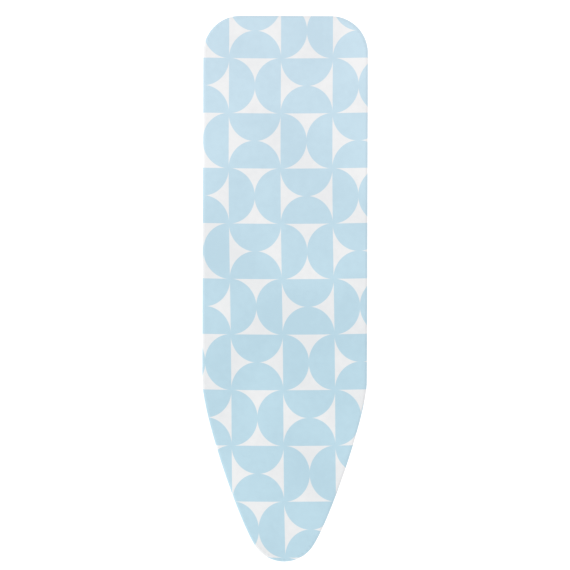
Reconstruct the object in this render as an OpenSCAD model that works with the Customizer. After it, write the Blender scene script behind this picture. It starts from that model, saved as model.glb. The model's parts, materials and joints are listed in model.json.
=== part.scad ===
// Folding ironing board: padded, cloth-covered steel top on two crossing pairs of tube legs.
// Millimetres, +Z up. X is across the board, -Y is the nose and +Y the blunt end.
// The origin is on the floor, under the middle of the board. The board is drawn standing.

/* [Board] */
// Length of the covered board, from nose to blunt end
board_l = 1240; // [1200:5:1280]
// Width of the covered board
board_w = 374; // [370:2:400]
// Height of the ironing surface above the floor, in the top notch
surface_h = 900; // [880:5:920]
// Radius of the two corners of the blunt end
corner_r = 84; // [60:2:100]
// Radius of the nose
nose_r = 78; // [70:1:85]
// Half angle of the nose's round part
nose_sweep = 54; // [50:1:58]
// Length of the tapered part, from the tip of the nose
taper_l = 412; // [390:2:430]

/* [Padding] */
// Thickness of the cotton cover
cover_t = 1; // [0.8:0.1:1.5]
// Thickness of the foam under the cover
foam_t = 4; // [2:0.5:6]
// Thickness of the felt under the foam
felt_t = 4; // [2:0.5:6]
// How far the cover is turned in under the board
hem_w = 38; // [34:1:42]

/* [Steel top] */
// Thickness of the sheet
sheet_t = 1; // [0.8:0.1:1.5]
// Depth of the rim under the sheet's border
rim_h = 12; // [10:1:13]
// Radius of a steam vent
vent_r = 6; // [4:0.5:8]

/* [Legs] */
// Outer diameter of the leg tubes
tube_d = 22; // [20:1:22]
// Wall of the leg tubes
tube_wall = 1.2; // [1:0.1:2]
// Length of a leg, from its top pivot to its foot bar
leg_l = 1090; // [1080:2:1096]
// Distance from a leg's top pivot to the pivot where the legs cross
cross_l = 460; // [454:1:464]
// Distance from a leg's top pivot to its brace
brace_l = 860; // [820:10:900]
// Distance from the middle to an inner leg tube
inner_x = 50; // [49:0.5:50]
// Distance from the middle to an outer leg tube
outer_x = 75; // [75:0.5:76]
// Length of the foot bar at the nose end, between its closed ends
nose_foot_l = 304; // [280:2:320]
// Length of the foot bar at the blunt end, between its closed ends
blunt_foot_l = 354; // [330:2:356]

/* [Height lock] */
// Number of heights
notches = 7; // [4:1:7]
// Height between two notches
notch_step = 25; // [23:1:26]
// Angle that the storage catch is open by
catch_open = 16; // [14:1:17]

/* [Hidden] */
$fn = 48;

// Colours
cloth_blue = [0.75, 0.87, 0.92];
cloth_white = [0.94, 0.94, 0.95];
foam_grey = [0.82, 0.82, 0.80];
felt_grey = [0.62, 0.62, 0.60];
coated_grey = [0.72, 0.73, 0.74];
zinc = [0.62, 0.63, 0.65];
dark_plastic = [0.22, 0.23, 0.25];
nylon = [0.90, 0.89, 0.85];

// The outline's curves
side_handle = 79;     // length of the curve's handle where the taper leaves the straight side
nose_handle = 62;     // length of its handle where it meets the nose's arc
corner_steps = 10;
side_steps = 14;
nose_steps = 7;

// Levels, from the top down
foam_top = surface_h - cover_t;
felt_top = foam_top - foam_t;
sheet_top = felt_top - felt_t;
sheet_under = sheet_top - sheet_t;
rim_bottom = sheet_top - rim_h;
hem_bottom = rim_bottom - cover_t;
skin_gap = 0.2;       // between the cover's skirt and what it is pulled over
rim_inset = cover_t + skin_gap;

// The hem's channel and the cord in it
binding_w = 7;
binding_h = 6;
binding_wall = 1.5;
binding_bottom = hem_bottom - 3;
cord_d = binding_w - 2 * binding_wall;
lock_gap = 56;        // opening of the binding at the blunt end, where the cord lock sits

// The linkage. Both legs have the same length above the crossing, so the slider runs level.
pivot_drop = 32;
pivot_y = 450;
pivot_z = sheet_under - pivot_drop;
tube_r = tube_d / 2;
foot_z = tube_r + 3;
cap_r = 16;
brace_r = 8;
leg_angle = asin((pivot_z - foot_z) / leg_l);
slider_y = pivot_y - 2 * cross_l * cos(leg_angle);
inner_foot_y = pivot_y - leg_l * cos(leg_angle);
outer_foot_y = slider_y + leg_l * cos(leg_angle);
folded_angle = 2.6;
folded_slider_y = pivot_y - 2 * cross_l * cos(folded_angle);

// Fits
pin_gap = 0.1;        // radial clearance of a pin that turns in its hole
slide_gap = 0.3;      // clearance of a part that slides

// Pins and rods
axle_r = 4;
small_pin_r = 2.5;
tube_end = 14;        // how far a tube runs on past its top pivot
nut_t = 5;
nut_r = 7;

// Spring wire
spring_wire_r = 0.6;
wire_steps = 16;      // points in one turn of a coil
wire_sides = 8;

// Slide rails
rail_x = 34;
rail_t = 2.5;
rail_flange = 20;
shoe_l = 26;
shoe_h = 14;
slot_h = shoe_h + 2 * slide_gap;
rail_edge = 6;        // steel left under the slot
rail_cut = 8;         // how far its lower corners are cut off
rail_y0 = folded_slider_y - shoe_l / 2 - 15;
rail_y1 = slider_y + shoe_l / 2 + 15;

// Rivets
rivet_r = 2;
rivet_head_r = 4;
rivet_head_h = 1.6;
rail_rivets_n = 5;

// Ratchet and its release lever
ratchet_t = 3;
ratchet_y = -345;
ratchet_z = pivot_z + 17;
teeth_z = pivot_z + axle_r + 0.6;
notch_r = axle_r + 1;
arm_y = pivot_y - cross_l + 1;
arm_w = 16;
arm_t = 3;
arm_top = pivot_z - 2;
grip_l = 92;
grip_x0 = 140;
grip_x1 = 176;
ear_x = ratchet_t / 2 + 0.5;
ear_r = 6;
ear_half_l = 12;      // half length of a small bracket's base
small_base = 18;      // half width of a small bracket's base
plate_root = 9;       // how far the ratchet plate runs on behind its pin
plate_half_h = 7;     // half its height there

// Storage catch
catch_y = folded_slider_y - 31.5;
catch_z = pivot_z + 14;

// ---------- outline ----------

half_w = board_w / 2;
nose_y = -board_l / 2;
corner_c = [half_w - corner_r, board_l / 2 - corner_r];
nose_c = [0, nose_y + nose_r];
function nose_dir(a) = [sin(a), -cos(a)];
side_start = [half_w, nose_y + taper_l];
side_end = nose_c + nose_r * nose_dir(nose_sweep);
side_points = [
    side_start,
    side_start - [0, side_handle],
    side_end + nose_handle * [cos(nose_sweep), sin(nose_sweep)],
    side_end
];

function bezier(p, t) =
    pow(1 - t, 3) * p[0] + 3 * pow(1 - t, 2) * t * p[1] + 3 * (1 - t) * t * t * p[2] + pow(t, 3) * p[3];
function bezier_run(p, t) =
    pow(1 - t, 2) * (p[1] - p[0]) + 2 * (1 - t) * t * (p[2] - p[1]) + t * t * (p[3] - p[2]);
function outward(run) = [-run[1], run[0]] / norm(run);

// The right half as [point, outward normal], from the blunt end round to the tip of the nose
right_half = concat(
    [for (i = [0:corner_steps]) let (a = 90 - 90 * i / corner_steps)
        [corner_c + corner_r * [cos(a), sin(a)], [cos(a), sin(a)]]],
    [for (i = [0:side_steps]) let (t = i / side_steps)
        [bezier(side_points, t), outward(bezier_run(side_points, t))]],
    [for (i = [1:nose_steps]) let (a = nose_sweep * (1 - i / nose_steps))
        [nose_c + nose_r * nose_dir(a), nose_dir(a)]]
);

// The board's outline, moved inwards by inset
function outline(inset) =
    let (right = [for (p = right_half) p[0] - inset * p[1]])
    concat(right, [for (i = [len(right) - 2:-1:0]) [-right[i][0], right[i][1]]]);

function half_width(y) = lookup(y, [for (p = right_half) [p[0][1], p[0][0]]]);

module slab(z0, z1, inset) {
    translate([0, 0, z0])
        linear_extrude(z1 - z0)
            polygon(outline(inset));
}

module ring(z0, z1, outer, inner) {
    translate([0, 0, z0])
        linear_extrude(z1 - z0)
            difference() {
                polygon(outline(outer));
                polygon(outline(inner));
            }
}

// ---------- shared shapes ----------

module box(x0, x1, y0, y1, z0, z1) {
    translate([x0, y0, z0]) cube([x1 - x0, y1 - y0, z1 - z0]);
}

// A cylinder along X from x0 to x1, centred on y and z
module rod_x(x0, x1, y, z, r) {
    translate([x0, y, z]) rotate([0, 90, 0]) cylinder(r = r, h = x1 - x0);
}

// The outline of a rectangle with round corners
function rounded(w, l, r) = [
    for (c = [[1, 1, 0], [-1, 1, 90], [-1, -1, 180], [1, -1, 270]])
        for (a = [0:22.5:90])
            [c[0] * (w / 2 - r) + r * cos(c[2] + a), c[1] * (l / 2 - r) + r * sin(c[2] + a)]
];

// Points along a coil about Z, from z = 0 up to z = length
function coil(r, turns, length, start = 0) = [
    for (i = [0:turns * wire_steps])
        let (a = start + 360 * i / wire_steps)
        [r * cos(a), r * sin(a), length * i / turns / wire_steps]
];

// A round wire along a path. Its rings turn with the path and are closed at both ends.
function unit(v) = v / norm(v);
function path_dir(path, i) = unit(path[min(i + 1, len(path) - 1)] - path[max(i - 1, 0)]);
module wire(r, path) {
    n = len(path);
    rings = [
        for (i = [0:n - 1])
            let (d = path_dir(path, i), u = unit(cross(d, [0.01, 0.02, 1])), v = cross(d, u))
            for (k = [0:wire_sides - 1])
                path[i] + r * (cos(360 * k / wire_sides) * u + sin(360 * k / wire_sides) * v)
    ];
    sides = [
        for (i = [0:n - 2]) for (k = [0:wire_sides - 1])
            let (k2 = (k + 1) % wire_sides, a = i * wire_sides, b = a + wire_sides)
            [a + k, a + k2, b + k2, b + k]
    ];
    ends = [
        [for (k = [wire_sides - 1:-1:0]) k],
        [for (k = [0:wire_sides - 1]) (n - 1) * wire_sides + k]
    ];
    polyhedron(rings, concat(sides, ends), convexity = 6);
}

// A hexagonal nut's outside, along X
module hex_x(x0, x1, y, z) {
    translate([x0, y, z]) rotate([0, 90, 0]) cylinder(r = nut_r, h = x1 - x0, $fn = 6);
}

// A flat shape drawn in Y and Z, given thickness along X from x0 to x1
module plate_yz(x0, x1) {
    translate([x0, 0, 0]) rotate([90, 0, 90]) linear_extrude(x1 - x0) children();
}

// Draws its children with a leg's top pivot at the origin and the leg hanging down along -Z.
// side is -1 for the inner legs, which run to the nose, and 1 for the outer legs.
module on_leg(top_y, side) {
    translate([0, top_y, pivot_z]) rotate([side * (90 - leg_angle), 0, 0]) children();
}

module on_inner() { on_leg(pivot_y, -1) children(); }
module on_outer() { on_leg(slider_y, 1) children(); }

module leg_tube(x) {
    difference() {
        translate([x, 0, -leg_l]) cylinder(r = tube_r, h = leg_l + tube_end);
        translate([x, 0, -leg_l - 1]) cylinder(r = tube_r - tube_wall, h = leg_l + tube_end + 2);
        rod_x(x - tube_d, x + tube_d, 0, -leg_l, tube_r);
        rod_x(x - tube_d, x + tube_d, 0, 0, axle_r + pin_gap);
        rod_x(x - tube_d, x + tube_d, 0, -cross_l, axle_r + pin_gap);
    }
}

// A closing plug pushed into a tube's open top
plug_head = 2;
plug_stem = 6;
module leg_plug(x) {
    translate([x, 0, tube_end]) cylinder(r = tube_r, h = plug_head);
    translate([x, 0, tube_end - plug_stem]) cylinder(r = tube_r - tube_wall, h = plug_stem);
}

// A thinner tube between two leg tubes, its ends coped to them
module brace(x) {
    difference() {
        rod_x(-x, x, 0, -brace_l, brace_r);
        rod_x(-x - 1, x + 1, 0, -brace_l, brace_r - tube_wall);
        for (s = [-1, 1]) translate([s * x, 0, -brace_l - 20]) cylinder(r = tube_r, h = 40);
    }
}

module foot_bar(length) {
    difference() {
        rod_x(-length / 2, length / 2, 0, -leg_l, tube_r);
        rod_x(-length / 2 - 1, length / 2 + 1, 0, -leg_l, tube_r - tube_wall);
    }
}

// A foot cap on the right end of a foot bar: a turned cup with a rounded end and a flat sole
cap_grip = 40;        // how far it is pushed on
cap_end = 8;          // plastic past the end of the bar
cap_round = 6;
cap_gap = 0.05;       // air between the end of the bar and the bottom of the cup
module foot_cap(length, y) {
    end = length / 2;
    difference() {
        translate([end - cap_grip, y, foot_z]) rotate([0, 90, 0])
            rotate_extrude()
                polygon(concat(
                    [[0, cap_grip + cap_gap], [tube_r, cap_grip + cap_gap], [tube_r, 0]],
                    [[cap_r - 1, 0], [cap_r, 1]],
                    [for (a = [0:18:90]) [cap_r - cap_round + cap_round * cos(a),
                                          cap_grip + cap_end - cap_round + cap_round * sin(a)]],
                    [[0, cap_grip + cap_end]]
                ));
        box(end - cap_grip - 1, end + cap_end + 1, y - cap_r - 1, y + cap_r + 1, -cap_r, 0);
    }
}

// A rivet from below: a flat dome and a shank up through what it holds
module rivet(x, y, z) {
    translate([x, y, z - rivet_head_h]) cylinder(r1 = rivet_head_r - 1, r2 = rivet_head_r, h = rivet_head_h);
    translate([x, y, z]) cylinder(r = rivet_r, h = sheet_top - z);
}

rail_rivet_x = rail_x + rail_t + rail_flange * 0.55;
function rail_rivet_y(i) = rail_y0 + 22 + (rail_y1 - rail_y0 - 44) * i / (rail_rivets_n - 1);
rail_rivet_spots = [for (s = [-1, 1]) for (i = [0:rail_rivets_n - 1]) [s * rail_rivet_x, rail_rivet_y(i)]];
bracket_rivet_spots = concat(
    [for (x = [-26, 26]) for (y = [-22, 22]) [x, pivot_y + y]],
    [for (x = [-12, 12]) [x, ratchet_y]],
    [for (x = [-12, 12]) [x, catch_y]]
);
fixing_t = 1.5;       // sheet thickness of the small brackets
bracket_t = 2.5;

// ---------- cloth and padding ----------

// The cover is one cloth: its flat top, the skirt pulled down over the edge, and the hem turned in under
// the rim. The hem and its binding are drawn as straight lengths (both sides and the blunt end) and
// curved ones (both corners and the nose), which meet on these lines.
straight_y0 = nose_y + taper_l + 1;
straight_y1 = corner_c[1] - 1;
straight_x = corner_c[0] - 1;
module straight_lengths() {
    difference() {
        children();
        box(-board_w, board_w, -board_l, straight_y0, 0, surface_h);
        box(straight_x, board_w, straight_y1, board_l, 0, surface_h);
        box(-board_w, -straight_x, straight_y1, board_l, 0, surface_h);
    }
}
module curved_lengths() {
    difference() {
        children();
        box(-board_w, board_w, straight_y0, straight_y1, 0, surface_h);
        box(-straight_x, straight_x, straight_y1 - 1, board_l, 0, surface_h);
    }
}

module cover() { color(cloth_blue) slab(foam_top, surface_h, 0); }

module cover_skirt() { color(cloth_blue) ring(rim_bottom, foam_top, 0, cover_t); }

module hem() { ring(hem_bottom, rim_bottom, 0, hem_w); }
module cover_hem_straight() { color(cloth_blue) straight_lengths() hem(); }
module cover_hem_curved() { color(cloth_blue) curved_lengths() hem(); }

module binding() {
    difference() {
        ring(binding_bottom, binding_bottom + binding_h, hem_w, hem_w + binding_w);
        ring(binding_bottom + binding_h / 2 - cord_d / 2, binding_bottom + binding_h / 2 + cord_d / 2,
             hem_w + binding_wall, hem_w + binding_w - binding_wall);
        box(-lock_gap / 2, lock_gap / 2, board_l / 2 - hem_w - binding_w - 5, board_l / 2 - hem_w + 5,
            binding_bottom - 1, binding_bottom + binding_h + 1);
    }
}
module hem_binding_straight() { color(cloth_white) straight_lengths() binding(); }
module hem_binding_curved() { color(cloth_white) curved_lengths() binding(); }

// The cord lock. Its outer face is just inside the hem's edge, and its button faces the nose.
lock_l = 34;
lock_w = 22;
lock_h = 12;
lock_y1 = board_l / 2 - hem_w - 0.5;
lock_y0 = lock_y1 - lock_w;
lock_z = binding_bottom + binding_h / 2;
lock_grip = 6;        // length of cord in each side of the case
cord_y = board_l / 2 - hem_w - binding_w / 2;
button_r = 4;
button_proud = 5;
button_l = 15;
bore_l = 18;
lock_coil_r = 2.8;
lock_coils = 3;

module drawstring() {
    color(cloth_white)
        difference() {
            ring(lock_z - cord_d / 2, lock_z + cord_d / 2,
                 hem_w + binding_wall, hem_w + binding_w - binding_wall);
            box(-lock_l / 2 + lock_grip, lock_l / 2 - lock_grip, lock_y0, lock_y1,
                lock_z - lock_h, lock_z + lock_h);
        }
}

// The two ends of the cord come together in this clamp
module cord_lock_case() {
    color(dark_plastic)
        difference() {
            translate([0, (lock_y0 + lock_y1) / 2, lock_z - lock_h / 2])
                linear_extrude(lock_h) polygon(rounded(lock_l, lock_w, 5));
            for (x = [-lock_l / 2 - 1, lock_l / 2 - lock_grip])
                box(x, x + lock_grip + 1, cord_y - cord_d / 2, cord_y + cord_d / 2,
                    lock_z - cord_d / 2, lock_z + cord_d / 2);
            translate([0, lock_y0 - 1, lock_z]) rotate([-90, 0, 0])
                cylinder(r = button_r + slide_gap, h = bore_l + 1);
        }
}

module cord_lock_spring() {
    free_l = bore_l + button_proud - button_l - 1;
    color(zinc)
        translate([0, lock_y0 + bore_l - 0.5, lock_z]) rotate([90, 0, 0])
            wire(spring_wire_r, coil(lock_coil_r, lock_coils, free_l));
}

module cord_lock_button() {
    color(dark_plastic)
        translate([0, lock_y0 - button_proud, lock_z]) rotate([-90, 0, 0])
            cylinder(r = button_r, h = button_l);
}

module foam_pad() { color(foam_grey) slab(felt_top, foam_top, rim_inset); }

module felt_pad() { color(felt_grey) slab(sheet_top, felt_top, rim_inset); }

// ---------- steel top and what is fixed to it ----------

vent_pitch_l = 40;
vent_pitch_w = 44;
vent_margin = 30;
// True where the sheet carries a rail or a bracket and has no vent
function fixed_over(x, y) =
    (abs(x) < 68 && y < rail_y1 + 20) || (abs(x) < 75 && abs(y - pivot_y) < 45);

vent_spots = [
    for (row = [0:floor((board_l - 2 * vent_margin) / vent_pitch_l)])
        let (y = board_l / 2 - vent_margin - 10 - row * vent_pitch_l)
        for (k = [-4:4])
            let (x = (k + (row % 2) / 2) * vent_pitch_w)
            if (y > nose_y + vent_margin && abs(x) < half_width(y) - vent_margin
                && y < board_l / 2 - vent_margin && !fixed_over(x, y)
                && norm([max(0, abs(x) - corner_c[0]), max(0, y - corner_c[1])]) < corner_r - vent_margin + 8)
                [x, y]
];

module steel_top() {
    color(coated_grey)
        translate([0, 0, sheet_under])
            linear_extrude(sheet_t)
                difference() {
                    polygon(outline(rim_inset));
                    for (p = vent_spots) translate(p) circle(r = vent_r, $fn = 24);
                    for (p = concat(rail_rivet_spots, bracket_rivet_spots)) translate(p) circle(r = rivet_r);
                }
}

// The strip on edge that is welded under the sheet's border and stiffens it
module steel_rim() {
    color(coated_grey) ring(rim_bottom, sheet_under, rim_inset, rim_inset + sheet_t);
}

// An angle with a long slot, which the glide shoe runs in
module slide_rail(side) {
    color(zinc)
        difference() {
            union() {
                plate_yz(side > 0 ? rail_x : -rail_x - rail_t, side > 0 ? rail_x + rail_t : -rail_x)
                    difference() {
                        polygon([
                            [rail_y0, sheet_under], [rail_y1, sheet_under],
                            [rail_y1, pivot_z], [rail_y1 - rail_cut, pivot_z - slot_h / 2 - rail_edge],
                            [rail_y0 + rail_cut, pivot_z - slot_h / 2 - rail_edge], [rail_y0, pivot_z]
                        ]);
                        translate([folded_slider_y - shoe_l / 2 - 2, pivot_z - slot_h / 2])
                            square([slider_y - folded_slider_y + shoe_l + 4, slot_h]);
                    }
                box(side > 0 ? rail_x + rail_t : -rail_x - rail_t - rail_flange,
                    side > 0 ? rail_x + rail_t + rail_flange : -rail_x - rail_t,
                    rail_y0, rail_y1, sheet_under - rail_t, sheet_under);
            }
            for (p = rail_rivet_spots)
                translate([p[0], p[1], sheet_under - rail_t - 1]) cylinder(r = rivet_r, h = rail_t + 2);
        }
}

module slide_rail_left() { slide_rail(-1); }
module slide_rail_right() { slide_rail(1); }

module rail_rivets() {
    color(zinc) for (p = rail_rivet_spots) rivet(p[0], p[1], sheet_under - rail_t);
}

// A U-shaped bracket with one rounded ear on each side, for a pin along X
module hanger(y, z, ear_inner, t, half_l, end_r, pin_r, top_half_w) {
    for (s = [-1, 1])
        plate_yz(s > 0 ? ear_inner : -ear_inner - t, s > 0 ? ear_inner + t : -ear_inner)
            difference() {
                union() {
                    translate([y, z]) circle(r = end_r);
                    polygon([
                        [y - half_l, sheet_under - t], [y - end_r, z],
                        [y + end_r, z], [y + half_l, sheet_under - t]
                    ]);
                }
                translate([y, z]) circle(r = pin_r);
            }
    difference() {
        box(-top_half_w, top_half_w, y - half_l, y + half_l, sheet_under - t, sheet_under);
        for (p = bracket_rivet_spots)
            if (abs(p[1] - y) < half_l)
                translate([p[0], p[1], sheet_under - t - 1]) cylinder(r = rivet_r, h = t + 2);
    }
}

pivot_ear_x = inner_x + tube_r + 1.5;
pivot_ear_r = 13;
pivot_half_l = 32;    // half length of the bracket's base
module pivot_bracket() {
    color(zinc)
        hanger(pivot_y, pivot_z, pivot_ear_x, bracket_t, pivot_half_l, pivot_ear_r,
               axle_r + pin_gap, pivot_ear_x + bracket_t);
}

module bracket_rivets() {
    color(zinc)
        for (p = bracket_rivet_spots)
            rivet(p[0], p[1], sheet_under - (p[1] > 0 ? bracket_t : fixing_t));
}

module ratchet_bracket() {
    color(zinc)
        hanger(ratchet_y, ratchet_z, ear_x, fixing_t, ear_half_l, ear_r, small_pin_r + pin_gap, small_base);
}

module ratchet_pin() {
    color(zinc) {
        rod_x(-ear_x - fixing_t - 6, ear_x + fixing_t + 7, ratchet_y, ratchet_z, small_pin_r);
        rod_x(ear_x + fixing_t + 7, ear_x + fixing_t + 9, ratchet_y, ratchet_z, small_pin_r + 2);
    }
}

// Wound round the pin beside the ear, with one end against the sheet and the other along the plate
ratchet_coil_r = 3.6;
ratchet_coils = 3;
ratchet_coil_l = 4.5;
module ratchet_spring() {
    start = ratchet_coil_r * [0, 1, 0];
    color(zinc)
        translate([ear_x + fixing_t + 1.2, ratchet_y, ratchet_z]) rotate([90, 0, 90])
            wire(spring_wire_r, concat(
                [start + [14, 3, 0]],
                coil(ratchet_coil_r, ratchet_coils, ratchet_coil_l, 90),
                [start + [-14, 6, ratchet_coil_l]]
            ));
}

module catch_bracket() {
    color(zinc)
        hanger(catch_y, catch_z, ear_x, fixing_t, ear_half_l, ear_r, small_pin_r + pin_gap, small_base);
}

module catch_pin() {
    color(zinc) rod_x(-ear_x - fixing_t - 2, ear_x + fixing_t + 2, catch_y, catch_z, small_pin_r);
}

// ---------- inner legs, which turn on the pivot bracket ----------

module inner_leg_tube_left() { color(coated_grey) on_inner() leg_tube(-inner_x); }
module inner_leg_tube_right() { color(coated_grey) on_inner() leg_tube(inner_x); }
module inner_leg_brace() { color(coated_grey) on_inner() brace(inner_x); }
module nose_foot_bar() { color(coated_grey) on_inner() foot_bar(nose_foot_l); }
module nose_foot_cap_right() { color(dark_plastic) foot_cap(nose_foot_l, inner_foot_y); }
module nose_foot_cap_left() { color(dark_plastic) mirror([1, 0, 0]) foot_cap(nose_foot_l, inner_foot_y); }
module inner_leg_plugs() { color(dark_plastic) on_inner() for (s = [-1, 1]) leg_plug(s * inner_x); }

axle_half = pivot_ear_x + bracket_t + nut_t + 2;
module pivot_axle() { color(zinc) rod_x(-axle_half, axle_half, pivot_y, pivot_z, axle_r); }

module pivot_axle_nuts() {
    nut_x = pivot_ear_x + bracket_t + slide_gap;
    color(zinc)
        for (s = [-1, 1]) mirror([s > 0 ? 0 : 1, 0, 0])
            difference() {
                hex_x(nut_x, nut_x + nut_t, pivot_y, pivot_z);
                rod_x(nut_x - 1, nut_x + nut_t + 1, pivot_y, pivot_z, axle_r);
            }
}

module pivot_spacer() {
    color(nylon)
        difference() {
            rod_x(-inner_x + tube_r + 0.2, inner_x - tube_r - 0.2, pivot_y, pivot_z, axle_r + 2.5);
            rod_x(-inner_x, inner_x, pivot_y, pivot_z, axle_r);
        }
}

bolt_in = inner_x - tube_r - nut_t - 2;
bolt_out = outer_x + tube_r + slide_gap;
module cross_pivot_bolts() {
    color(zinc)
        on_inner()
            for (s = [-1, 1]) mirror([s > 0 ? 0 : 1, 0, 0]) {
                rod_x(bolt_in, bolt_out, 0, -cross_l, axle_r);
                rod_x(bolt_out, bolt_out + 3, 0, -cross_l, nut_r);
            }
}

module cross_pivot_nuts() {
    color(zinc)
        on_inner()
            for (s = [-1, 1]) mirror([s > 0 ? 0 : 1, 0, 0])
                difference() {
                    hex_x(inner_x - tube_r - nut_t, inner_x - tube_r, 0, -cross_l);
                    rod_x(bolt_in - 1, bolt_out, 0, -cross_l, axle_r);
                }
}

module cross_pivot_washers() {
    color(nylon)
        on_inner()
            for (s = [-1, 1]) mirror([s > 0 ? 0 : 1, 0, 0])
                difference() {
                    rod_x(inner_x + tube_r, outer_x - tube_r - slide_gap, 0, -cross_l, tube_r - 1);
                    rod_x(inner_x, outer_x, 0, -cross_l, axle_r);
                }
}

// ---------- outer legs, which turn on the crossing and on the slider ----------

module outer_leg_tube_left() { color(coated_grey) on_outer() leg_tube(-outer_x); }
module outer_leg_tube_right() { color(coated_grey) on_outer() leg_tube(outer_x); }
module outer_leg_brace() { color(coated_grey) on_outer() brace(outer_x); }
module blunt_foot_bar() { color(coated_grey) on_outer() foot_bar(blunt_foot_l); }
module blunt_foot_cap_right() { color(dark_plastic) foot_cap(blunt_foot_l, outer_foot_y); }
module blunt_foot_cap_left() { color(dark_plastic) mirror([1, 0, 0]) foot_cap(blunt_foot_l, outer_foot_y); }
module outer_leg_plugs() { color(dark_plastic) on_outer() for (s = [-1, 1]) leg_plug(s * outer_x); }

// ---------- slider, which carries the outer legs along the rails ----------

slider_half = outer_x + tube_r + 5;
shoe_flange = 2;
module slider_rod() { color(zinc) rod_x(-slider_half, slider_half, slider_y, pivot_z, axle_r); }

module slider_end_caps() {
    color(dark_plastic)
        for (s = [-1, 1]) mirror([s > 0 ? 0 : 1, 0, 0])
            difference() {
                rod_x(outer_x + tube_r + slide_gap, slider_half + 2, slider_y, pivot_z, nut_r);
                rod_x(outer_x, slider_half, slider_y, pivot_z, axle_r);
            }
}

module slider_spacers() {
    color(nylon)
        for (s = [-1, 1]) mirror([s > 0 ? 0 : 1, 0, 0])
            difference() {
                rod_x(rail_x + rail_t + slide_gap + shoe_flange, outer_x - tube_r - slide_gap,
                      slider_y, pivot_z, axle_r + 2);
                rod_x(rail_x, outer_x, slider_y, pivot_z, axle_r);
            }
}

// A nylon block with a flange on each side of the rail
module glide_shoe(side) {
    x0 = rail_x - slide_gap;
    x1 = rail_x + rail_t + slide_gap;
    color(nylon)
        mirror([side > 0 ? 0 : 1, 0, 0])
            difference() {
                union() {
                    box(x0, x1, slider_y - shoe_l / 2, slider_y + shoe_l / 2,
                        pivot_z - shoe_h / 2, pivot_z + shoe_h / 2);
                    for (x = [x0 - shoe_flange, x1])
                        box(x, x + shoe_flange, slider_y - shoe_l / 2, slider_y + shoe_l / 2,
                            pivot_z - shoe_h / 2 - 3, pivot_z + shoe_h / 2 + 3);
                }
                rod_x(x0 - 5, x1 + 5, slider_y, pivot_z, axle_r);
            }
}

module glide_shoe_left() { glide_shoe(-1); }
module glide_shoe_right() { glide_shoe(1); }

// ---------- ratchet and its release lever ----------

// Where the slider stands with the surface k steps below its highest
function notch_y(k) = pivot_y - 2 * cross_l * cos(asin((pivot_z - foot_z - k * notch_step) / leg_l));

module ratchet_plate() {
    tail_y0 = arm_y - arm_w / 2;
    tail_y1 = arm_y + arm_w / 2;
    tail_h = 17;          // height of the plate over the arm
    last_y = notch_y(notches - 1);
    color(zinc)
        plate_yz(-ratchet_t / 2, ratchet_t / 2)
            difference() {
                polygon([
                    [ratchet_y - plate_root, ratchet_z + plate_half_h], [tail_y1, arm_top + tail_h],
                    [tail_y1, arm_top], [tail_y0, arm_top], [tail_y0 - 6, teeth_z],
                    [last_y - 12, teeth_z], [last_y - 24, ratchet_z - plate_half_h],
                    [ratchet_y - plate_root, ratchet_z - plate_half_h]
                ]);
                for (k = [0:notches - 1]) translate([notch_y(k), teeth_z]) circle(r = notch_r);
                translate([ratchet_y, ratchet_z]) circle(r = small_pin_r + pin_gap);
            }
}

module release_arm() {
    color(zinc)
        box(-ratchet_t / 2 - 8, grip_x1 - 8, arm_y - arm_w / 2, arm_y + arm_w / 2, arm_top - arm_t, arm_top);
}

grip_h = 12;
module release_grip() {
    mid = arm_top - arm_t / 2;
    color(dark_plastic)
        difference() {
            translate([(grip_x0 + grip_x1) / 2, arm_y, mid - grip_h / 2 - 3])
                linear_extrude(grip_h)
                    polygon(rounded(grip_x1 - grip_x0, grip_l, 12));
            box(grip_x0 - 1, grip_x1 - 8, arm_y - arm_w / 2, arm_y + arm_w / 2, arm_top - arm_t, arm_top);
        }
}

// ---------- storage catch, which holds the slider when the legs are folded ----------

module catch_pose() {
    translate([0, catch_y, catch_z]) rotate([catch_open, 0, 0]) children();
}

// The hook, from its pin: its tooth comes up beyond the rod, and its tail carries the tab
catch_tooth = folded_slider_y - catch_y + axle_r + 0.8;
catch_bottom = pivot_z - 4 - catch_z;
catch_top = 3;
catch_mouth = -6.5;
catch_tail = 44;
tab_w = 20;
tab_l = 18;
tab_h = 10;
module storage_catch() {
    color(zinc)
        catch_pose()
            plate_yz(-ratchet_t / 2, ratchet_t / 2)
                difference() {
                    polygon([
                        [-8, catch_top], [catch_tooth + 7, catch_top], [catch_tooth + 7, catch_bottom + 4],
                        [catch_tooth + 3, catch_bottom], [catch_tooth, catch_bottom],
                        [catch_tooth, catch_mouth], [-8, catch_mouth],
                        [-catch_tail, -5], [-catch_tail, -1]
                    ]);
                    circle(r = small_pin_r + pin_gap);
                }
}

module catch_tab() {
    color(dark_plastic)
        catch_pose()
            difference() {
                translate([-tab_w / 2, -catch_tail - 10, -8]) cube([tab_w, tab_l, tab_h]);
                translate([-ratchet_t / 2, -catch_tail - 0.2, -5.5]) cube([ratchet_t, tab_l + 2, 5]);
            }
}

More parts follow.
